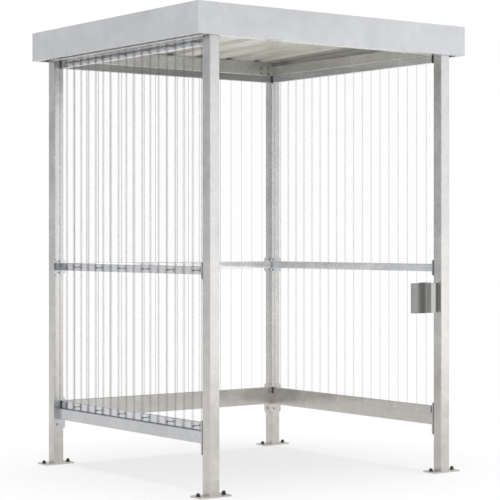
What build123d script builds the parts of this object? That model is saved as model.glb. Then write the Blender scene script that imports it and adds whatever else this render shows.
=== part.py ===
# Smoking shelter: four square posts on base plates, three walls of clear ribbed
# sheet on rails, a ribbed steel roof behind a folded fascia, and an ashtray.
# Millimetres, +Z up, ground at Z 0, open front towards -Y, left wall at -X.

import os
from build123d import *

# Driving sizes
POST = 60.0
POST_WALL = 3.0
POST_CORNER_R = 4.5
FRAME_X = 1550.0
FRAME_Y = 1550.0
TOTAL_H = 2362.0

# Rails: flat tubes on edge, and deeper sills under the lowest ones
RAIL_D = 20.0
RAIL_H = 40.0
RAIL_WALL = 2.0
RAIL_CORNER_R = 3.0
RAIL_LOW_Z = 308.0
RAIL_MID_Z = 1062.0
SILL_D = 40.0
SILL_H = 60.0
CAP_T = 14.0
CAP_PLUG = 14.0
CAP_PLAY = 0.3

# Base plates
PLATE_X = 180.0
PLATE_Y = 92.0
PLATE_T = 8.0
PLATE_CORNER_R = 3.0
ANCHOR_SPACING = 150.0
ANCHOR_HOLE_R = 7.0

# End plates welded to the rails and bolted to the posts
END_T = 6.0
END_SIDE_W = 70.0
END_BACK_W = 66.0
END_MID_H = 84.0
END_BELOW_SILL = 53.0
END_ABOVE_RAIL = 18.0
END_CHAMFER = 8.0

# Clear wall sheets, trapezoidal ribs 76 apart and 18 deep
SHEET_PITCH = 76.0
SHEET_DEPTH = 18.0
SHEET_FLAT = 26.0
SHEET_T = 1.5
SHEET_SIDE_GAP = 7.0
SHEET_TOP_GAP = 6.0

# Roof beams, their corners rounded like the posts'
BEAM_WALL = 3.0
SIDE_BEAM_H = 60.0
BACK_BEAM_H = 80.0

# Roof sheet, trapezoidal ribs 207 apart and 35 high, falling to the back
ROOF_PITCH = 207.0
ROOF_RIB_H = 35.0
ROOF_RIB_TOP = 40.0
ROOF_RIB_BASE = 88.0
ROOF_T = 1.0
ROOF_SLOPE = 0.02
ROOF_RIB_X0 = -28.0
ROOF_END_GAP = 8.0
ROOF_BACK_GAP = 26.0

# Fascia of folded sheet, as high as the beams, the fall and the ribs need
FASCIA_T = 2.0
FASCIA_OUT_X = 85.0
FASCIA_OUT_Y = 28.0
FASCIA_LIP = 22.0
FASCIA_LIP_GAP = 4.0
BRACKET_W = 40.0
BRACKET_H = 30.0
BRACKET_WALL = 3.0
BRACKET_LIFT = 10.0

# Ashtray on the front right post: a bow-fronted box beside a folded bracket
TRAY_BELOW_RAIL = 60.0
TRAY_H = 154.0
TRAY_X = 110.0
TRAY_Y = 42.0
TRAY_BOW = 6.0
TRAY_T = 1.5
TRAY_FLANGE = 32.0
TRAY_RECESS_X = 34.0
TRAY_RECESS_Y = 24.0
TRAY_BASE_T = 3.0
TRAY_BASE_X = 124.0
STUB_PLATE_X = 51.0
STUB_PLATE_T = 4.0
STUB_HOLE_R = 3.0

# Places that follow from the sizes above
HX = FRAME_X / 2
HY = FRAME_Y / 2
POST_X = HX - POST / 2
POST_Y = HY - POST / 2
IN_X = HX - POST
IN_Y = HY - POST
FX = HX + FASCIA_OUT_X
FY = HY + FASCIA_OUT_Y
ROOF_RISE = ROOF_SLOPE * FRAME_Y
FASCIA_H = BACK_BEAM_H + ROOF_RISE + ROOF_RIB_H + FASCIA_LIP_GAP + 2 * FASCIA_T
FASCIA_Z0 = TOTAL_H - FASCIA_H
BEAM_Z = FASCIA_Z0 + FASCIA_T
ROOF_BACK_Z = BEAM_Z + BACK_BEAM_H
RAIL_TOP_Z = BEAM_Z - RAIL_H
SHEET_Z0 = RAIL_LOW_Z
SHEET_Z1 = BEAM_Z - SHEET_TOP_GAP
SILL_Z = RAIL_LOW_Z - SILL_H

os.makedirs("parts", exist_ok=True)


def roof_z(y):
    return ROOF_BACK_Z + ROOF_SLOPE * (HY - y)


def tube_section(width, height, wall, corner_r):
    # The tight inner corners, shut away in the tube, are left square
    RectangleRounded(width, height, corner_r)
    Rectangle(width - 2 * wall, height - 2 * wall, mode=Mode.SUBTRACT)


def save(builder, label):
    builder.part.label = label
    export_step(builder.part, f"parts/{label}.step")


# Base plates and posts
CORNERS = {
    "front_left": (-POST_X, -POST_Y),
    "front_right": (POST_X, -POST_Y),
    "back_left": (-POST_X, POST_Y),
    "back_right": (POST_X, POST_Y),
}

for name, (px, py) in CORNERS.items():
    with BuildPart() as base_plate:
        with BuildSketch(Plane.XY.offset(0)):
            with Locations((px, py)):
                RectangleRounded(PLATE_X, PLATE_Y, PLATE_CORNER_R)
            with Locations((px - ANCHOR_SPACING / 2, py), (px + ANCHOR_SPACING / 2, py)):
                Circle(ANCHOR_HOLE_R, mode=Mode.SUBTRACT)
        extrude(amount=PLATE_T)
    save(base_plate, f"base_plate_{name}")

    with BuildPart() as post:
        with BuildSketch(Plane.XY.offset(PLATE_T)):
            with Locations((px, py)):
                tube_section(POST, POST, POST_WALL, POST_CORNER_R)
        extrude(amount=BEAM_Z - PLATE_T)
    save(post, f"post_{name}")


# Rails of the side walls run along Y, those of the back wall along X.
# Each wall has a plane whose x runs along the wall and whose z is up.
WALLS = {
    "left": Plane(origin=(-IN_X, 0, 0), x_dir=(0, -1, 0), z_dir=(0, 0, 1)),
    "right": Plane(origin=(IN_X, 0, 0), x_dir=(0, -1, 0), z_dir=(0, 0, 1)),
    "back": Plane(origin=(0, IN_Y, 0), x_dir=(1, 0, 0), z_dir=(0, 0, 1)),
}
OUTWARD = {"left": -1, "right": 1, "back": 1}
SPAN = {"left": FRAME_Y - 2 * POST, "right": FRAME_Y - 2 * POST, "back": FRAME_X - 2 * POST}


def section_plane(wall):
    # Looks along the wall: x is the wall's depth and y is up.
    base = WALLS[wall]
    return Plane(origin=base.origin, x_dir=base.y_dir, z_dir=base.x_dir)


def rail(wall, z, depth, height, length):
    # A rectangular tube along the wall, its inner face flush with the posts.
    with BuildPart() as tube:
        with BuildSketch(section_plane(wall)):
            with Locations((OUTWARD[wall] * depth / 2, z + height / 2)):
                tube_section(depth, height, RAIL_WALL, RAIL_CORNER_R)
        extrude(amount=length / 2, both=True)
    return tube.part


def end_plates(wall, z0, z1):
    # Two flat plates with cut corners, one against each post.
    inner = 0.0 if wall == "back" else -END_T
    width = END_BACK_W if wall == "back" else END_SIDE_W
    mid = OUTWARD[wall] * (inner + width / 2)
    with BuildPart() as plates:
        for end in (-1, 1):
            with BuildSketch(section_plane(wall).offset(end * (SPAN[wall] - END_T) / 2)):
                with Locations((mid, (z0 + z1) / 2)):
                    Rectangle(width, z1 - z0)
                chamfer(vertices(), END_CHAMFER)
            extrude(amount=END_T / 2, both=True)
    return plates.part


def end_caps(wall, z, reach):
    # Caps closing a rail: a head as large as the tube and a plug inside it.
    plug_x = RAIL_D - 2 * RAIL_WALL - 2 * CAP_PLAY
    plug_y = RAIL_H - 2 * RAIL_WALL - 2 * CAP_PLAY
    with BuildPart() as caps:
        for end in (-1, 1):
            outer = section_plane(wall).offset(end * reach / 2)
            inner = section_plane(wall).offset(end * (reach / 2 - CAP_T))
            centre = (OUTWARD[wall] * RAIL_D / 2, z + RAIL_H / 2)
            with BuildSketch(outer):
                with Locations(centre):
                    RectangleRounded(RAIL_D, RAIL_H, RAIL_CORNER_R)
            extrude(amount=-end * CAP_T)
            with BuildSketch(inner):
                with Locations(centre):
                    Rectangle(plug_x, plug_y)
            extrude(amount=-end * CAP_PLUG)
    return caps.part


for wall in WALLS:
    span = SPAN[wall]
    inner_span = span - 2 * END_T
    mid_z = RAIL_MID_Z + RAIL_H / 2

    with BuildPart() as top_rail:
        add(rail(wall, RAIL_TOP_Z, RAIL_D, RAIL_H, span - 2 * CAP_T))
    save(top_rail, f"{wall}_top_rail")

    with BuildPart() as mid_rail:
        add(rail(wall, RAIL_MID_Z, RAIL_D, RAIL_H, inner_span))
        add(end_plates(wall, mid_z - END_MID_H / 2, mid_z + END_MID_H / 2))
    save(mid_rail, f"{wall}_mid_rail")

    with BuildPart() as bottom_rail:
        add(rail(wall, RAIL_LOW_Z, RAIL_D, RAIL_H, inner_span - 2 * CAP_T))
    save(bottom_rail, f"{wall}_bottom_rail")

    with BuildPart() as sill:
        add(rail(wall, SILL_Z, SILL_D, SILL_H, inner_span))
        add(end_plates(wall, SILL_Z - END_BELOW_SILL, RAIL_LOW_Z + RAIL_H + END_ABOVE_RAIL))
    save(sill, f"{wall}_sill")

    with BuildPart() as rail_caps:
        add(end_caps(wall, RAIL_TOP_Z, span))
        add(end_caps(wall, RAIL_LOW_Z, inner_span))
    save(rail_caps, f"{wall}_rail_caps")


# Clear trapezoidal sheets, one per wall, lying against the outside of the rails
def ribbed_line(first, last, start_rib, pitch, flat_low, flat_high, rise):
    # Points of a trapezoidal wave from first to last; ribs centred on start_rib.
    web = (pitch - flat_low - flat_high) / 2
    points = []
    count = int((last - first) / pitch) + 3
    rib = start_rib
    while rib - pitch > first - pitch:
        rib -= pitch
    for index in range(count):
        centre = rib + index * pitch
        points += [
            (centre - flat_high / 2 - web, 0.0),
            (centre - flat_high / 2, rise),
            (centre + flat_high / 2, rise),
            (centre + flat_high / 2 + web, 0.0),
        ]
    clipped = []
    for (u0, v0), (u1, v1) in zip(points, points[1:]):
        if u1 <= first or u0 >= last:
            continue
        a = max(u0, first)
        b = min(u1, last)
        if b - a < 1e-6:
            continue
        va = v0 + (v1 - v0) * (a - u0) / (u1 - u0)
        vb = v0 + (v1 - v0) * (b - u0) / (u1 - u0)
        if not clipped:
            clipped.append((a, va))
        clipped.append((b, vb))
    return clipped


def closed_strip(line, thickness, sign=1.0, v0=0.0):
    lower = [(u, sign * (v + v0)) for u, v in line]
    upper = [(u, sign * (v + v0 + thickness)) for u, v in line]
    return lower + upper[::-1]


SHEET_RISE = SHEET_DEPTH - SHEET_T

for wall in WALLS:
    half = SPAN[wall] / 2 - SHEET_SIDE_GAP
    # One rib lies at the middle of the wall, so that both edges are alike
    wave = ribbed_line(-half, half, 0.0, SHEET_PITCH, SHEET_FLAT, SHEET_FLAT, SHEET_RISE)
    outline = closed_strip(wave, SHEET_T, sign=OUTWARD[wall], v0=RAIL_D)
    with BuildPart() as wall_sheet:
        with BuildSketch(WALLS[wall].offset(SHEET_Z0)):
            with BuildLine():
                Polyline(*outline, close=True)
            make_face()
        extrude(amount=SHEET_Z1 - SHEET_Z0)
    save(wall_sheet, f"{wall}_wall_sheet")


# Roof beams: side beams lie on the post tops, front and back beams between them,
# with tops that follow the fall of the roof
for name, sx in (("left", -1), ("right", 1)):
    with BuildPart() as side_beam:
        with BuildSketch(Plane.XZ):
            with Locations((sx * POST_X, BEAM_Z + SIDE_BEAM_H / 2)):
                tube_section(POST, SIDE_BEAM_H, BEAM_WALL, POST_CORNER_R)
        extrude(amount=HY, both=True)
    save(side_beam, f"{name}_roof_beam")

for name, sy in (("front", -1), ("back", 1)):
    y_out = sy * HY
    y_in = sy * IN_Y
    with BuildPart() as cross_beam:
        with BuildSketch(Plane.YZ):
            with BuildLine():
                Polyline(
                    (y_in, BEAM_Z),
                    (y_out, BEAM_Z),
                    (y_out, roof_z(y_out)),
                    (y_in, roof_z(y_in)),
                    close=True,
                )
            make_face()
            fillet(vertices(), POST_CORNER_R)
            offset(amount=-BEAM_WALL, mode=Mode.SUBTRACT)
        extrude(amount=IN_X, both=True)
    save(cross_beam, f"{name}_roof_beam")


# Roof sheet: drawn at its back edge and drawn forward and up along the fall
# and stopped short of the back fascia, where the rain runs off
roof_y_back = FY - FASCIA_T - ROOF_BACK_GAP
roof_y_front = -FY + FASCIA_T + ROOF_END_GAP
roof_half_x = FX - FASCIA_T
roof_wave = ribbed_line(
    -roof_half_x,
    roof_half_x,
    ROOF_RIB_X0,
    ROOF_PITCH,
    ROOF_PITCH - ROOF_RIB_BASE,
    ROOF_RIB_TOP,
    ROOF_RIB_H,
)
roof_outline = [(x, z + roof_z(roof_y_back)) for x, z in closed_strip(roof_wave, ROOF_T)]
with BuildPart() as roof_sheet:
    with BuildSketch(Plane.XZ.offset(-roof_y_back)):
        with BuildLine():
            Polyline(*roof_outline, close=True)
        make_face()
    extrude(amount=roof_y_back - roof_y_front, dir=(0, -1, ROOF_SLOPE))
save(roof_sheet, "roof_sheet")


# Fascia: a folded channel, its flat face outwards and its two lips inwards.
# Front and back pieces cover the ends of the side pieces.
def fascia_section(face, inward):
    z0 = FASCIA_Z0
    z1 = TOTAL_H
    t = FASCIA_T
    s = inward
    return [
        (face, z0),
        (face + s * FASCIA_LIP, z0),
        (face + s * FASCIA_LIP, z0 + t),
        (face + s * t, z0 + t),
        (face + s * t, z1 - t),
        (face + s * FASCIA_LIP, z1 - t),
        (face + s * FASCIA_LIP, z1),
        (face, z1),
    ]


for name, sy in (("front", -1), ("back", 1)):
    with BuildPart() as fascia:
        with BuildSketch(Plane.YZ):
            with BuildLine():
                Polyline(*fascia_section(sy * FY, -sy), close=True)
            make_face()
        extrude(amount=FX, both=True)
    save(fascia, f"{name}_fascia")

for name, sx in (("left", -1), ("right", 1)):
    with BuildPart() as fascia:
        with BuildSketch(Plane.XZ):
            with BuildLine():
                Polyline(*fascia_section(sx * FX, -sx), close=True)
            make_face()
        extrude(amount=FY - FASCIA_T, both=True)
        # The lips stop where the lips of the front and back pieces begin
        for sy in (-1, 1):
            with BuildPart(mode=Mode.SUBTRACT):
                for z_lip in (FASCIA_Z0 + FASCIA_T / 2, TOTAL_H - FASCIA_T / 2):
                    with Locations(
                        (
                            sx * (FX - FASCIA_LIP / 2),
                            sy * (FY - FASCIA_LIP / 2),
                            z_lip,
                        )
                    ):
                        Box(FASCIA_LIP, FASCIA_LIP, FASCIA_T)
    save(fascia, f"{name}_fascia")


# Tubes that carry the fascia from the roof beams: arms at the sides, and a long
# packer at the front and at the back
BRACKET_Z = BEAM_Z + BRACKET_LIFT + BRACKET_H / 2

for name, sx in (("left", -1), ("right", 1)):
    arm = FASCIA_OUT_X - FASCIA_T
    for end, sy in (("front", -1), ("back", 1)):
        with BuildPart() as bracket:
            with BuildSketch(Plane.YZ.offset(sx * (HX + arm / 2))):
                with Locations((sy * POST_Y, BRACKET_Z)):
                    tube_section(BRACKET_W, BRACKET_H, BRACKET_WALL, POST_CORNER_R)
            extrude(amount=arm / 2, both=True)
        save(bracket, f"fascia_arm_{end}_{name}")

for end, sy in (("front", -1), ("back", 1)):
    gap = FASCIA_OUT_Y - FASCIA_T
    with BuildPart() as packer:
        with BuildSketch(Plane.YZ):
            with Locations((sy * (HY + gap / 2), BRACKET_Z)):
                tube_section(gap, BRACKET_H, BRACKET_WALL, POST_CORNER_R)
        extrude(amount=IN_X, both=True)
    save(packer, f"{end}_fascia_packer")


# Ashtray: seen from above, a box with a bowed front, open at the top beside the
# stub plate, and a folded bracket whose web lies back from the front
TRAY_Z0 = RAIL_MID_Z - TRAY_BELOW_RAIL - TRAY_H
TRAY_XR = IN_X - TRAY_RECESS_X - TRAY_FLANGE
TRAY_XL = TRAY_XR - TRAY_X
TRAY_YF = -HY
TRAY_YB = TRAY_YF + TRAY_Y

with BuildPart() as ashtray_body:
    with BuildSketch(Plane.XY.offset(TRAY_Z0)) as outline:
        with BuildLine():
            front = ThreePointArc(
                (TRAY_XL, TRAY_YF + TRAY_BOW),
                ((TRAY_XL + TRAY_XR) / 2, TRAY_YF),
                (TRAY_XR, TRAY_YF + TRAY_BOW),
            )
            Polyline(front @ 1, (TRAY_XR, TRAY_YB), (TRAY_XL, TRAY_YB), front @ 0)
        make_face()
    extrude(amount=TRAY_H)
    top = faces().sort_by(Axis.Z)[-1]
    offset(amount=-TRAY_T, openings=top)
save(ashtray_body, "ashtray_body")

with BuildPart() as ashtray_bracket:
    with BuildSketch(Plane.XY.offset(TRAY_Z0)):
        with BuildLine():
            Polyline(
                (TRAY_XR, TRAY_YF + TRAY_BOW),
                (TRAY_XR + TRAY_FLANGE, TRAY_YF + TRAY_BOW),
                (TRAY_XR + TRAY_FLANGE, TRAY_YF + TRAY_RECESS_Y),
                (IN_X, TRAY_YF + TRAY_RECESS_Y),
                (IN_X, TRAY_YB),
                (TRAY_XR, TRAY_YB),
                close=True,
            )
        make_face()
        offset(amount=-TRAY_T, mode=Mode.SUBTRACT)
    extrude(amount=TRAY_H)
save(ashtray_bracket, "ashtray_bracket")

with BuildPart() as ashtray_base:
    with BuildSketch(Plane.XY.offset(TRAY_Z0)):
        with Locations((TRAY_XL + TRAY_BASE_X / 2, (TRAY_YF + TRAY_BOW + TRAY_YB) / 2)):
            Rectangle(TRAY_BASE_X, TRAY_Y - TRAY_BOW)
    extrude(amount=-TRAY_BASE_T)
save(ashtray_base, "ashtray_base")

with BuildPart() as ashtray_plate:
    with BuildSketch(Plane.XY.offset(TRAY_Z0 + TRAY_H)):
        with Locations((TRAY_XR - STUB_PLATE_X / 2, (TRAY_YF + TRAY_BOW + TRAY_YB) / 2)):
            Rectangle(STUB_PLATE_X, TRAY_Y - TRAY_BOW)
            with GridLocations(12, 14, 4, 2):
                Circle(STUB_HOLE_R, mode=Mode.SUBTRACT)
    extrude(amount=STUB_PLATE_T)
save(ashtray_plate, "ashtray_plate")
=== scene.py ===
import math

import bmesh
import bpy
from mathutils import Matrix, Vector


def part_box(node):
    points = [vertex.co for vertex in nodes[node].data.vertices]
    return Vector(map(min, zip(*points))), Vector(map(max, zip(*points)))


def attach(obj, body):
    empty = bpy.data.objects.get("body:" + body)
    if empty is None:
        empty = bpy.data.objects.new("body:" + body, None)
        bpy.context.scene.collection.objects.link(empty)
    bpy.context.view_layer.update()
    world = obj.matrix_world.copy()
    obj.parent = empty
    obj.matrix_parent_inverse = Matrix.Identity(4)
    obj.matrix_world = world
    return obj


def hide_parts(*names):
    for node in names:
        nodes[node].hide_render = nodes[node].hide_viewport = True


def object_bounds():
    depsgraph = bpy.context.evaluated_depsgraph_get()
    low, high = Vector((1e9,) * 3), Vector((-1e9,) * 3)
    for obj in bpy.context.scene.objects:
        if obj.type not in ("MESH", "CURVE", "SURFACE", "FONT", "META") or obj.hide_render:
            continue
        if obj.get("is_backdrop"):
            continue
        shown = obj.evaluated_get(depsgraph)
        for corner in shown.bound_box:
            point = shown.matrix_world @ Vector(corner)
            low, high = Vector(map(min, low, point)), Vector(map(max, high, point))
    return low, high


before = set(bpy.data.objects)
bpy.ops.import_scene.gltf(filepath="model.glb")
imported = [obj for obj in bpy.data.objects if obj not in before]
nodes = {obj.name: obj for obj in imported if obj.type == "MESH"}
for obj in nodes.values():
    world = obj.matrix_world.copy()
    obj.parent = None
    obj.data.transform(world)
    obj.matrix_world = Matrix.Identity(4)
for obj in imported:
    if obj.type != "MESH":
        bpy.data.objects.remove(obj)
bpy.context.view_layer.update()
scene = bpy.context.scene

# Camera

CAMERA_AT = (-5.35868, -7.36613, 1.22716)
CAMERA_TURN = 36.1947
CAMERA_LENS = 121.3745
CAMERA_SHIFT_Y = -0.01922
SENSOR_WIDTH = 36.0

camera_data = bpy.data.cameras.new("camera")
camera_data.lens = CAMERA_LENS
camera_data.sensor_fit = "HORIZONTAL"
camera_data.sensor_width = SENSOR_WIDTH
camera_data.shift_y = CAMERA_SHIFT_Y
camera_data.clip_start = 0.1
camera_data.clip_end = 100.0
camera = bpy.data.objects.new("camera", camera_data)
camera.location = CAMERA_AT
camera.rotation_euler = (math.radians(90.0), 0.0, math.radians(-CAMERA_TURN))
scene.collection.objects.link(camera)
scene.camera = camera
scene.view_settings.view_transform = "Standard"


# Parts of a material

# Places of the two entries and of the result on a mix node, for colours and for numbers
COLOUR_MIX = (6, 7, 2)
NUMBER_MIX = (2, 3, 0)


def new_material(name):
    made = bpy.data.materials.new(name)
    made.use_nodes = True
    tree = made.node_tree
    tree.nodes.clear()
    output = tree.nodes.new("ShaderNodeOutputMaterial")
    shader = tree.nodes.new("ShaderNodeBsdfPrincipled")
    tree.links.new(shader.outputs["BSDF"], output.inputs["Surface"])
    return made, tree, shader


def feed(tree, socket, value):
    # A socket is linked, and a plain value is set
    if isinstance(value, bpy.types.NodeSocket):
        tree.links.new(value, socket)
    else:
        socket.default_value = value


def maths(tree, operation, first, second=None):
    made = tree.nodes.new("ShaderNodeMath")
    made.operation = operation
    feed(tree, made.inputs[0], first)
    if second is not None:
        feed(tree, made.inputs[1], second)
    return made.outputs["Value"]


def mixed(tree, share, first, second, how="MIX", sockets=COLOUR_MIX):
    made = tree.nodes.new("ShaderNodeMix")
    if sockets == COLOUR_MIX:
        made.data_type = "RGBA"
        made.blend_type = how
    else:
        made.data_type = "FLOAT"
    feed(tree, made.inputs[0], share)
    feed(tree, made.inputs[sockets[0]], first)
    feed(tree, made.inputs[sockets[1]], second)
    return made.outputs[sockets[2]]


def position(tree, stretch=(1.0, 1.0, 1.0)):
    place = tree.nodes.new("ShaderNodeTexCoord")
    mapping = tree.nodes.new("ShaderNodeMapping")
    mapping.inputs["Scale"].default_value = stretch
    tree.links.new(place.outputs["Object"], mapping.inputs["Vector"])
    return mapping.outputs["Vector"]


def one_axis(tree, vector, axis):
    parts = tree.nodes.new("ShaderNodeSeparateXYZ")
    tree.links.new(vector, parts.inputs["Vector"])
    return parts.outputs[axis]


def noise(tree, vector, scale, detail=3.0, roughness=0.55):
    made = tree.nodes.new("ShaderNodeTexNoise")
    made.inputs["Scale"].default_value = scale
    made.inputs["Detail"].default_value = detail
    made.inputs["Roughness"].default_value = roughness
    tree.links.new(vector, made.inputs["Vector"])
    return made.outputs["Fac"]


def cells(tree, vector, scale):
    made = tree.nodes.new("ShaderNodeTexVoronoi")
    made.feature = "F1"
    made.inputs["Scale"].default_value = scale
    made.inputs["Randomness"].default_value = 1.0
    tree.links.new(vector, made.inputs["Vector"])
    grey = tree.nodes.new("ShaderNodeRGBToBW")
    tree.links.new(made.outputs["Color"], grey.inputs["Color"])
    return grey.outputs["Val"]


def spread(tree, value, low=0.0, high=1.0, from_low=0.3, from_high=0.7):
    made = tree.nodes.new("ShaderNodeMapRange")
    made.clamp = True
    made.inputs["From Min"].default_value = from_low
    made.inputs["From Max"].default_value = from_high
    made.inputs["To Min"].default_value = low
    made.inputs["To Max"].default_value = high
    tree.links.new(value, made.inputs["Value"])
    return made.outputs["Result"]


def ramp(tree, value, stops):
    made = tree.nodes.new("ShaderNodeValToRGB")
    ends = made.color_ramp.elements
    ends[0].position = stops[0][0]
    ends[0].color = (*stops[0][1], 1.0)
    ends[1].position = stops[-1][0]
    ends[1].color = (*stops[-1][1], 1.0)
    for place, colour in stops[1:-1]:
        middle = ends.new(place)
        middle.color = (*colour, 1.0)
    tree.links.new(value, made.inputs["Fac"])
    return made.outputs["Color"]


def bump(tree, shader, height, strength, distance):
    made = tree.nodes.new("ShaderNodeBump")
    made.inputs["Strength"].default_value = strength
    made.inputs["Distance"].default_value = distance
    tree.links.new(height, made.inputs["Height"])
    tree.links.new(made.outputs["Normal"], shader.inputs["Normal"])


# Galvanised steel

# Heights and tint of the painted floor light on the steel
FLOOR_LIGHT_HEIGHTS = (0.1, 1.5)
FLOOR_LIGHT_TINT = (1.13, 1.09, 1.02, 1.0)
PLATE_EDGE = (0.708, 0.7085)
PLATE_TINT = (0.70, 0.70, 0.70, 1.0)
SPANGLE_SCALE = 210.0


def painted_floor_light(tree, tone):
    # Painted light: the steel is painted warmer and lighter near the ground, as if lit from the
    # floor
    low = spread(tree, one_axis(tree, position(tree), "Z"), 1.0, 0.0, *FLOOR_LIGHT_HEIGHTS)
    return mixed(tree, low, tone, FLOOR_LIGHT_TINT, "MULTIPLY")


def dulled_ends(tree, tone, axis):
    # The welded end plates keep the duller grey of the posts
    reach = maths(tree, "ABSOLUTE", one_axis(tree, position(tree), axis))
    return mixed(tree, spread(tree, reach, 0.0, 1.0, *PLATE_EDGE), tone, PLATE_TINT, "MULTIPLY")


def galvanised(
    name, dark, mid, light, metal=0.75, gloss=(0.20, 0.30), clouds=7.0, floor_light=False, plates=None
):
    made, tree, shader = new_material(name)
    where = position(tree)
    cloud = noise(tree, where, clouds, 2.0, 0.5)
    fine = noise(tree, where, clouds * 4.0, 2.0, 0.5)
    spangle = cells(tree, where, SPANGLE_SCALE)
    cloud_part = spread(tree, cloud, 0.0, 0.72, 0.28, 0.72)
    fine_part = spread(tree, fine, 0.0, 0.24)
    spangle_part = spread(tree, spangle, 0.0, 0.04, 0.0, 1.0)
    shade = maths(tree, "ADD", maths(tree, "ADD", cloud_part, fine_part), spangle_part)
    tone = ramp(tree, shade, [(0.0, dark), (0.5, mid), (1.0, light)])
    # Painted floor light, warmer and lighter near the ground
    if floor_light:
        tone = painted_floor_light(tree, tone)
    if plates:
        tone = dulled_ends(tree, tone, plates)
    tree.links.new(tone, shader.inputs["Base Color"])
    tree.links.new(spread(tree, cloud, *gloss), shader.inputs["Roughness"])
    shader.inputs["Metallic"].default_value = metal
    bump(tree, shader, cloud, 0.05, 0.002)
    return made


# Roof coat and clear sheet

SHEET_IOR = 1.49
SHEET_SPECULAR = 0.1
SHEET_FALLOFF = 12.0
EDGE_COVER = 0.70
FLAT_COVER = 0.006
OBLIQUE_FROM = 0.34


def roof_coat():
    made, tree, shader = new_material("cream_roof_coat")
    where = position(tree)
    cloud = noise(tree, where, 5.0)
    skin = noise(tree, where, 420.0, 2.0)
    tone = ramp(tree, spread(tree, cloud), [
        (0.0, (0.55, 0.535, 0.465)),
        (1.0, (0.60, 0.585, 0.51)),
    ])
    tree.links.new(tone, shader.inputs["Base Color"])
    tree.links.new(spread(tree, cloud, 0.16, 0.22), shader.inputs["Roughness"])
    bump(tree, shader, skin, 0.10, 0.0006)
    return made


def clear_sheet(name, cover):
    # Cover is how far a fold seen edge on hides what stands behind it
    made, tree, shader = new_material(name)
    haze = noise(tree, position(tree), 3.0)
    tone = ramp(tree, spread(tree, haze), [
        (0.0, (0.20, 0.205, 0.21)),
        (1.0, (0.26, 0.265, 0.27)),
    ])
    tree.links.new(tone, shader.inputs["Base Color"])
    tree.links.new(spread(tree, haze, 0.04, 0.08), shader.inputs["Roughness"])
    shader.inputs["IOR"].default_value = SHEET_IOR
    shader.inputs["Specular IOR Level"].default_value = SHEET_SPECULAR
    angle = tree.nodes.new("ShaderNodeLayerWeight")
    angle.inputs["Blend"].default_value = 0.5
    facing = angle.outputs["Facing"]
    steep = maths(tree, "POWER", facing, SHEET_FALLOFF)
    edge_on = spread(tree, steep, 0.0, EDGE_COVER, 0.0, 1.0)
    oblique = spread(tree, facing, FLAT_COVER, cover, OBLIQUE_FROM, 1.0)
    tree.links.new(maths(tree, "ADD", edge_on, oblique), shader.inputs["Alpha"])
    return made


# Stainless steel, plastic and bolts

# Painted reflection bands across the ashtray's front, as shares of its tone from left to right
REFLECTION_BANDS = ((0.0, 1.25), (0.06, 1.25), (0.34, 0.55), (0.55, 0.60), (0.8, 1.75), (1.0, 1.70))
SIDE_NORMALS = (-0.9, -0.6)


def painted_front_reflections(tree, tone, brush, left, right):
    # Painted reflection and light: the curved front is painted darker along its middle and lighter
    # towards both ends, and the side that faces left is painted pale
    across = spread(tree, one_axis(tree, position(tree), "X"), 0.0, 1.0, left, right)
    reflection_band = ramp(tree, across, [(place, (level, level, level)) for place, level in REFLECTION_BANDS])
    front = mixed(tree, 1.0, tone, reflection_band, "MULTIPLY")
    # Painted light: faces turned to the left get a paler tone
    surface = tree.nodes.new("ShaderNodeNewGeometry")
    side = spread(tree, one_axis(tree, surface.outputs["Normal"], "X"), 1.0, 0.0, *SIDE_NORMALS)
    pale = ramp(tree, spread(tree, brush), [(0.0, (0.38, 0.38, 0.38)), (1.0, (0.48, 0.48, 0.47))])
    return mixed(tree, side, front, pale)


def stainless(name, dark, mid, light, bow=None):
    # Bow is where the curved front begins and ends, from left to right; across it the painted
    # reflection bands are laid
    made, tree, shader = new_material(name)
    brush = noise(tree, position(tree, (1.0, 1.0, 0.02)), 75.0, 3.0, 0.6)
    tone = ramp(tree, spread(tree, brush), [(0.0, dark), (0.5, mid), (1.0, light)])
    if bow:
        tone = painted_front_reflections(tree, tone, brush, *bow)
    tree.links.new(tone, shader.inputs["Base Color"])
    tree.links.new(spread(tree, brush, 0.16, 0.26), shader.inputs["Roughness"])
    shader.inputs["Metallic"].default_value = 0.95
    bump(tree, shader, brush, 0.04, 0.0005)
    return made


def black_plastic():
    made, tree, shader = new_material("black_plastic")
    skin = noise(tree, position(tree), 900.0, 2.0)
    tone = ramp(tree, skin, [(0.3, (0.018, 0.018, 0.019)), (0.7, (0.032, 0.032, 0.034))])
    tree.links.new(tone, shader.inputs["Base Color"])
    tree.links.new(spread(tree, skin, 0.35, 0.5), shader.inputs["Roughness"])
    bump(tree, shader, skin, 0.15, 0.0003)
    return made


def zinc_bolt(name, dark, light):
    made, tree, shader = new_material(name)
    skin = noise(tree, position(tree), 260.0)
    tree.links.new(ramp(tree, skin, [(0.3, dark), (0.7, light)]), shader.inputs["Base Color"])
    tree.links.new(spread(tree, skin, 0.25, 0.4), shader.inputs["Roughness"])
    shader.inputs["Metallic"].default_value = 0.85
    bump(tree, shader, skin, 0.1, 0.0003)
    return made


# Finishes

# The posts' steel carries painted floor light near the ground
STEEL = galvanised(
    "galvanised_steel", (0.44, 0.44, 0.45), (0.51, 0.51, 0.515), (0.58, 0.58, 0.58), floor_light=True
)
SILL = galvanised(
    "galvanised_sill", (0.47, 0.475, 0.485), (0.53, 0.535, 0.545), (0.60, 0.605, 0.615)
)
SIDE_RAIL = galvanised(
    "galvanised_rail", (0.58, 0.59, 0.61), (0.65, 0.66, 0.68), (0.72, 0.73, 0.75),
    gloss=(0.12, 0.18), plates="Y",
)
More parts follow.
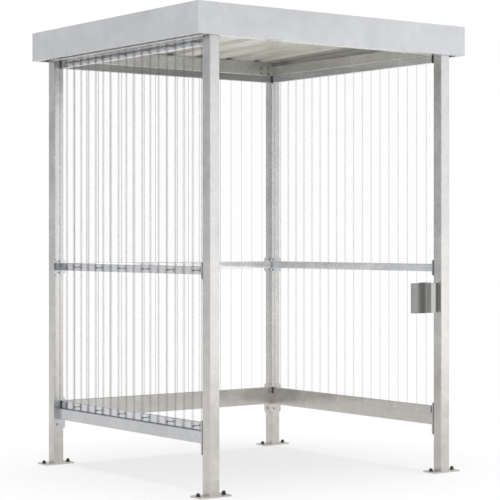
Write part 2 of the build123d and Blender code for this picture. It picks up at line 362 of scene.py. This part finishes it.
# A much lighter copy of the galvanised steel for the back mid rail: its brightness is painted
# light
PAINTED_BRIGHT_BACK_RAIL = galvanised(
    "galvanised_back_rail_painted_bright", (0.78, 0.78, 0.77), (0.84, 0.84, 0.83), (0.90, 0.90, 0.89),
    gloss=(0.10, 0.16), plates="X",
)
BEAM = galvanised("galvanised_beam", (0.55, 0.55, 0.53), (0.62, 0.62, 0.60), (0.68, 0.68, 0.66))
FASCIA = galvanised(
    "galvanised_fascia", (0.54, 0.55, 0.57), (0.60, 0.61, 0.63), (0.66, 0.67, 0.69),
    metal=0.15, clouds=4.0,
)
ROOF = roof_coat()
CLEAR = clear_sheet("clear_sheet", 0.28)
CLEAR_BACK = clear_sheet("clear_back_sheet", 0.85)
bin_low, bin_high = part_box("ashtray_body")
# The ashtray body carries painted reflection bands on its front and a painted pale side
STAINLESS = stainless(
    "stainless_steel", (0.08, 0.08, 0.078), (0.13, 0.13, 0.127), (0.20, 0.20, 0.195),
    (bin_low[0], bin_high[0]),
)
STAINLESS_PALE = stainless(
    "stainless_pale", (0.27, 0.27, 0.26), (0.31, 0.31, 0.30), (0.36, 0.36, 0.35)
)
BLACK = black_plastic()
BOLT = zinc_bolt("zinc_bolt", (0.18, 0.18, 0.185), (0.30, 0.30, 0.305))
PALE_BOLT = zinc_bolt("pale_bolt", (0.32, 0.32, 0.325), (0.44, 0.44, 0.445))


def finish_of(name):
    if "ashtray" in name:
        return STAINLESS_PALE if "bracket" in name else STAINLESS
    if "caps" in name:
        return STEEL if "back" in name else BLACK
    if "wall_sheet" in name:
        return CLEAR_BACK if "back" in name else CLEAR
    if name == "roof_sheet":
        return ROOF
    if "beam" in name or "packer" in name or "arm" in name:
        return BEAM
    if "fascia" in name:
        return FASCIA
    # The back mid rail takes the copy with painted light
    if name == "back_mid_rail":
        return PAINTED_BRIGHT_BACK_RAIL
    if name == "left_sill":
        return SILL
    if "top_rail" in name or "mid_rail" in name or name == "left_bottom_rail":
        return SIDE_RAIL
    return STEEL


for name, node in nodes.items():
    node.data.materials.clear()
    node.data.materials.append(finish_of(name))


# New pieces

# The axis that each wall runs along, and which side of the middle it stands on
WALLS = {"left": (1, -1.0), "right": (1, 1.0), "back": (0, 1.0)}


def on_wall(run, along, across, z):
    point = [0.0, 0.0, z]
    point[run] = along
    point[1 - run] = across
    return point


def new_piece(name, shape, finish):
    bmesh.ops.recalc_face_normals(shape, faces=shape.faces)
    data = bpy.data.meshes.new(name)
    shape.to_mesh(data)
    shape.free()
    data.materials.append(finish)
    made = bpy.data.objects.new(name, data)
    scene.collection.objects.link(made)
    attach(made, "root")
    return made


# Clear sheets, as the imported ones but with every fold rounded

SHEET_PITCH = 0.076
SHEET_FLAT = 0.026
SHEET_RISE = 0.0165
SHEET_T = 0.0015
FOLD_R = 0.0060
FOLD_STEPS = 6
FLAT_HOLD = 0.0008


def ribbed_points(half):
    # Corners of a trapezoidal wave with a crest at its middle, cut at both ends
    crest = SHEET_FLAT / 2.0
    foot = SHEET_PITCH / 2.0 - SHEET_FLAT / 2.0
    count = int(half / SHEET_PITCH) + 1
    corners = []
    for k in range(-count, count + 1):
        for offset, v in ((-foot, 0.0), (-crest, SHEET_RISE), (crest, SHEET_RISE), (foot, 0.0)):
            corners.append(Vector((k * SHEET_PITCH + offset, v)))
    inside = [point for point in corners if abs(point.x) < half]
    slope = SHEET_RISE / (foot - crest)
    end_v = SHEET_RISE - slope * (half - inside[-1].x)
    return [Vector((-half, end_v))] + inside + [Vector((half, end_v))]


def rounded(points):
    # Each corner becomes an arc, held by a point just beyond its ends
    line = [points[0]]
    for before, corner, after in zip(points, points[1:], points[2:]):
        back = (before - corner).normalized()
        ahead = (after - corner).normalized()
        turn = math.pi - back.angle(ahead)
        reach = FOLD_R * math.tan(turn / 2.0)
        start = corner + back * reach
        end = corner + ahead * reach
        centre = corner + (back + ahead).normalized() * (FOLD_R / math.cos(turn / 2.0))
        first = math.atan2(start.y - centre.y, start.x - centre.x)
        last = math.atan2(end.y - centre.y, end.x - centre.x)
        sweep = (last - first + math.pi) % (2.0 * math.pi) - math.pi
        line.append(start + back * FLAT_HOLD)
        for k in range(FOLD_STEPS + 1):
            angle = first + sweep * k / FOLD_STEPS
            line.append(centre + FOLD_R * Vector((math.cos(angle), math.sin(angle))))
        line.append(end + ahead * FLAT_HOLD)
    line.append(points[-1])
    return line


def clear_wall(name, packed, wall, finish):
    # The line is drawn along the wall and pushed outwards, away from the rails
    run, outward = WALLS[wall]
    low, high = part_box(packed)
    half = (high[run] - low[run]) / 2.0
    inner = min(abs(low[1 - run]), abs(high[1 - run]))
    line = rounded(ribbed_points(half))
    shape = bmesh.new()
    rows = []
    for depth in (inner, inner + SHEET_T):
        for z in (low[2], high[2]):
            row = []
            for point in line:
                row.append(shape.verts.new(on_wall(run, point.x, outward * (depth + point.y), z)))
            rows.append(row)
    inner_low, inner_high, outer_low, outer_high = rows
    for k in range(len(line) - 1):
        for first, second in ((inner_low, inner_high), (outer_low, outer_high)):
            side = shape.faces.new((first[k], first[k + 1], second[k + 1], second[k]))
            side.smooth = True
        for first, second in ((inner_low, outer_low), (inner_high, outer_high)):
            shape.faces.new((first[k], first[k + 1], second[k + 1], second[k]))
    for k in (0, -1):
        shape.faces.new((inner_low[k], outer_low[k], outer_high[k], inner_high[k]))
    for face in shape.faces:
        if not face.smooth:
            for edge in face.edges:
                edge.smooth = False
    made = new_piece(name, shape, finish)
    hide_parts(packed)


for wall in WALLS:
    packed = f"{wall}_wall_sheet"
    clear_wall(f"{wall}_clear_sheet", packed, wall, finish_of(packed))


# Turned and stepped shapes

def ring(mesh, sides, radius, height):
    points = []
    for k in range(sides):
        angle = 2.0 * math.pi * k / sides
        points.append(mesh.verts.new((radius * math.cos(angle), radius * math.sin(angle), height)))
    return points


def joined_rings(mesh, rings):
    for lower, upper in zip(rings, rings[1:]):
        count = len(lower)
        for k in range(count):
            after = (k + 1) % count
            mesh.faces.new((lower[k], lower[after], upper[after], upper[k]))
    mesh.faces.new(list(reversed(rings[0])))
    mesh.faces.new(rings[-1])


def lathe(mesh, sides, profile):
    joined_rings(mesh, [ring(mesh, sides, radius, height) for radius, height in profile])


# Weld seams, filling the groove between each sill and the rail above it, indoors

SEAM_Z = 0.308
SEAM_H = 0.0052
SEAM_IN = 0.0026
SEAM_PROUD = 0.0001
SEAM_HALF = 0.709
SEAM_STEPS = 180
SEAM_ARC = 6
SWELLS = ((0.00012, 2.4, 0.0), (0.00008, 1.1, 0.6))
RAIL_FACE = 0.715


def weld_seam(name, wall):
    run, sign = WALLS[wall]
    shape = bmesh.new()
    rings = []
    for k in range(SEAM_STEPS + 1):
        along = -SEAM_HALF + 2.0 * SEAM_HALF * k / SEAM_STEPS
        swell = sum(size * math.sin(k * pace + start) for size, pace, start in SWELLS)
        profile = []
        for step in range(SEAM_ARC + 1):
            share = step / SEAM_ARC
            proud = SEAM_PROUD + swell * math.sin(math.pi * share)
            profile.append((sign * (RAIL_FACE - proud), SEAM_Z + SEAM_H * (share - 0.5)))
        profile.append((sign * (RAIL_FACE + SEAM_IN), SEAM_Z))
        rings.append([shape.verts.new(on_wall(run, along, across, z)) for across, z in profile])
    joined_rings(shape, rings)
    new_piece(name, shape, STEEL)


for wall in WALLS:
    weld_seam(f"{wall}_weld_seam", wall)


# Fasteners

SHANK = 0.018
RAIL_BOLT = (0.009, 0.0050, 0.0068)
BEAM_BOLT = (0.009, 0.0045, 0.0062)


def screw(mesh):
    lathe(mesh, 12, [(0.0017, -SHANK), (0.0020, -SHANK + 0.001), (0.0020, 0.0004)])
    lathe(mesh, 20, [(0.0060, 0.0), (0.0060, 0.0014), (0.0056, 0.0020), (0.0050, 0.0023)])
    lathe(mesh, 6, [(0.0046, 0.0018), (0.0046, 0.0060), (0.0040, 0.0070), (0.0010, 0.0073)])


def hex_bolt(mesh, across, head, washer):
    corner = across / 2.0 / math.cos(math.pi / 6.0)
    plate = washer * 0.16
    lathe(mesh, 24, [(washer, 0.0), (washer, plate * 0.7), (washer * 0.94, plate)])
    lathe(mesh, 6, [
        (corner, plate),
        (corner, plate + head * 0.80),
        (corner * 0.88, plate + head),
        (corner * 0.30, plate + head * 1.02),
    ])


def rail_bolt(mesh):
    hex_bolt(mesh, *RAIL_BOLT)


def beam_bolt(mesh):
    hex_bolt(mesh, *BEAM_BOLT)


def capped_anchor(mesh):
    lathe(mesh, 28, [
        (0.0125, 0.0),
        (0.0125, 0.0016),
        (0.0118, 0.0022),
        (0.0092, 0.0024),
    ])
    lathe(mesh, 24, [
        (0.0092, 0.0020),
        (0.0092, 0.0095),
        (0.0084, 0.0125),
        (0.0062, 0.0146),
        (0.0030, 0.0156),
        (0.0008, 0.0158),
    ])


def turned(point, towards):
    facing = Vector(towards).to_track_quat("Z", "Y").to_matrix().to_4x4()
    return Matrix.Translation(Vector(point)) @ facing


def fasteners(name, make, places, finish):
    # Each place is a point and the way that the head looks
    whole = bmesh.new()
    for point, towards in places:
        one = bmesh.new()
        make(one)
        bmesh.ops.transform(one, matrix=turned(point, towards), verts=one.verts)
        piece = bpy.data.meshes.new("one")
        one.to_mesh(piece)
        one.free()
        whole.from_mesh(piece)
        bpy.data.meshes.remove(piece)
    new_piece(name, whole, finish)


# Screws of the sheets, in the crests

FIRST_SCREW = -0.608
SCREW_PITCH = 0.228
SCREW_COUNT = 6
CREST_FACE = 0.753
RAIL_LEVELS = {"top": 2.190, "mid": 1.082, "bottom": 0.328}

for level, z in RAIL_LEVELS.items():
    for wall, (run, sign) in WALLS.items():
        outwards = on_wall(run, 0.0, sign, 0.0)
        places = []
        for k in range(SCREW_COUNT):
            point = on_wall(run, FIRST_SCREW + SCREW_PITCH * k, sign * CREST_FACE, z)
            places.append((point, outwards))
        fasteners(f"{wall}_{level}_sheet_screws", screw, places, BOLT)


# Bolts of the end plates: two at each end of a mid rail, one below each end of a bottom rail

PLATE_FACE = 0.709
MID_BOLT_Z = (1.0515, 1.1125)
LOW_BOLT_Z = 0.220
BOLTS_ACROSS = {"left": (0.745, 0.757), "right": (0.722, 0.730), "back": (0.730, 0.748)}

for wall, (mid, low) in BOLTS_ACROSS.items():
    run, sign = WALLS[wall]
    places = []
    for end in (-1.0, 1.0):
        inwards = on_wall(run, -end, 0.0, 0.0)
        for z in MID_BOLT_Z:
            places.append((on_wall(run, end * PLATE_FACE, sign * mid, z), inwards))
        places.append((on_wall(run, end * PLATE_FACE, sign * low, LOW_BOLT_Z), inwards))
    fasteners(f"{wall}_rail_bolts", rail_bolt, places, PALE_BOLT)


# Bolts of the roof beams

BEAM_FACE = 0.715
BEAM_BOLT_X = (0.640, 0.688)
BEAM_BOLT_Z = (2.221, 2.253)

places = []
for end in (-1.0, 1.0):
    for x in BEAM_BOLT_X:
        for z in BEAM_BOLT_Z:
            places.append(((end * x, BEAM_FACE, z), (0.0, -1.0, 0.0)))
            places.append(((end * x, -BEAM_FACE, z), (0.0, 1.0, 0.0)))
fasteners("beam_bolts", beam_bolt, places, BOLT)


# Anchor bolts under black caps

POST_CENTRE = 0.745
ANCHOR_STEP = 0.075
BASE_T = 0.008

places = []
for x in (-POST_CENTRE, POST_CENTRE):
    for y in (-POST_CENTRE, POST_CENTRE):
        for step in (-ANCHOR_STEP, ANCHOR_STEP):
            places.append(((x + step, y, BASE_T), (0.0, 0.0, 1.0)))
fasteners("anchor_bolt_caps", capped_anchor, places, BLACK)


# Floor, white to the camera but for a share of the shadow

WHITE = (1.0, 1.0, 1.0, 1.0)
FLOOR_COLOUR = (0.93, 0.93, 0.93, 1.0)
FLOOR_R = 60.0
SHADOW_SHARE = 0.36


def clear_rays(tree):
    # One for rays that come from the camera, a mirror or a clear piece
    path = tree.nodes.new("ShaderNodeLightPath")
    seen = maths(tree, "MAXIMUM", path.outputs["Is Camera Ray"], path.outputs["Is Glossy Ray"])
    return maths(tree, "MAXIMUM", seen, path.outputs["Is Transmission Ray"])


floor_data = bpy.data.meshes.new("floor")
floor_shape = bmesh.new()
bmesh.ops.create_circle(floor_shape, cap_ends=True, segments=96, radius=FLOOR_R)
floor_shape.to_mesh(floor_data)
floor_shape.free()
floor = bpy.data.objects.new("floor", floor_data)
scene.collection.objects.link(floor)
floor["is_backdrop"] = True

floor_material = bpy.data.materials.new("floor")
floor_material.use_nodes = True
tree = floor_material.node_tree
tree.nodes.clear()
floor_out = tree.nodes.new("ShaderNodeOutputMaterial")
matte = tree.nodes.new("ShaderNodeBsdfDiffuse")
matte.inputs["Color"].default_value = FLOOR_COLOUR
glow = tree.nodes.new("ShaderNodeEmission")
glow.inputs["Color"].default_value = WHITE
glow.inputs["Strength"].default_value = 1.0
share = spread(tree, clear_rays(tree), 0.0, 1.0 - SHADOW_SHARE, 0.0, 1.0)
blend = tree.nodes.new("ShaderNodeMixShader")
tree.links.new(share, blend.inputs["Fac"])
tree.links.new(matte.outputs["BSDF"], blend.inputs[1])
tree.links.new(glow.outputs["Emission"], blend.inputs[2])
tree.links.new(blend.outputs["Shader"], floor_out.inputs["Surface"])
floor_data.materials.append(floor_material)


# World, white to the camera and through the sheets, paler in metal and in the light it gives

CAMERA_LEVEL = 1.0
GLOSS_LEVEL = 0.70
WORLD_LEVEL = 0.62

world = bpy.data.worlds.new("world")
scene.world = world
world.use_nodes = True
tree = world.node_tree
tree.nodes.clear()
world_out = tree.nodes.new("ShaderNodeOutputWorld")
air = tree.nodes.new("ShaderNodeBackground")
air.inputs["Color"].default_value = WHITE
mirrored = tree.nodes.new("ShaderNodeLightPath").outputs["Is Glossy Ray"]
looked_at = mixed(tree, mirrored, CAMERA_LEVEL, GLOSS_LEVEL, sockets=NUMBER_MIX)
level = mixed(tree, clear_rays(tree), WORLD_LEVEL, looked_at, sockets=NUMBER_MIX)
tree.links.new(level, air.inputs["Strength"])
tree.links.new(air.outputs["Background"], world_out.inputs["Surface"])


# Lamps

TOP_STRENGTH = 1.62
TOP_SPREAD = 46.0
TOP_AT = (0.0, 0.0, 6.0)
FRONT_AT = (2.66, -4.18, 1.52)
FRONT_AIM = (-0.587, 0.810, 0.0)
FRONT_SIZE = (3.0, 2.8)
FRONT_POWER = 26.0

top_data = bpy.data.lights.new("top_lamp", "SUN")
top_data.energy = TOP_STRENGTH
top_data.angle = math.radians(TOP_SPREAD)
top = bpy.data.objects.new("top_lamp", top_data)
top.location = TOP_AT
scene.collection.objects.link(top)

front_data = bpy.data.lights.new("front_lamp", "AREA")
front_data.shape = "RECTANGLE"
front_data.size = FRONT_SIZE[0]
front_data.size_y = FRONT_SIZE[1]
front_data.energy = FRONT_POWER
front = bpy.data.objects.new("front_lamp", front_data)
front.location = FRONT_AT
front.visible_camera = False
front.rotation_euler = Vector(FRONT_AIM).to_track_quat("-Z", "Y").to_euler()
scene.collection.objects.link(front)

low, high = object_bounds()
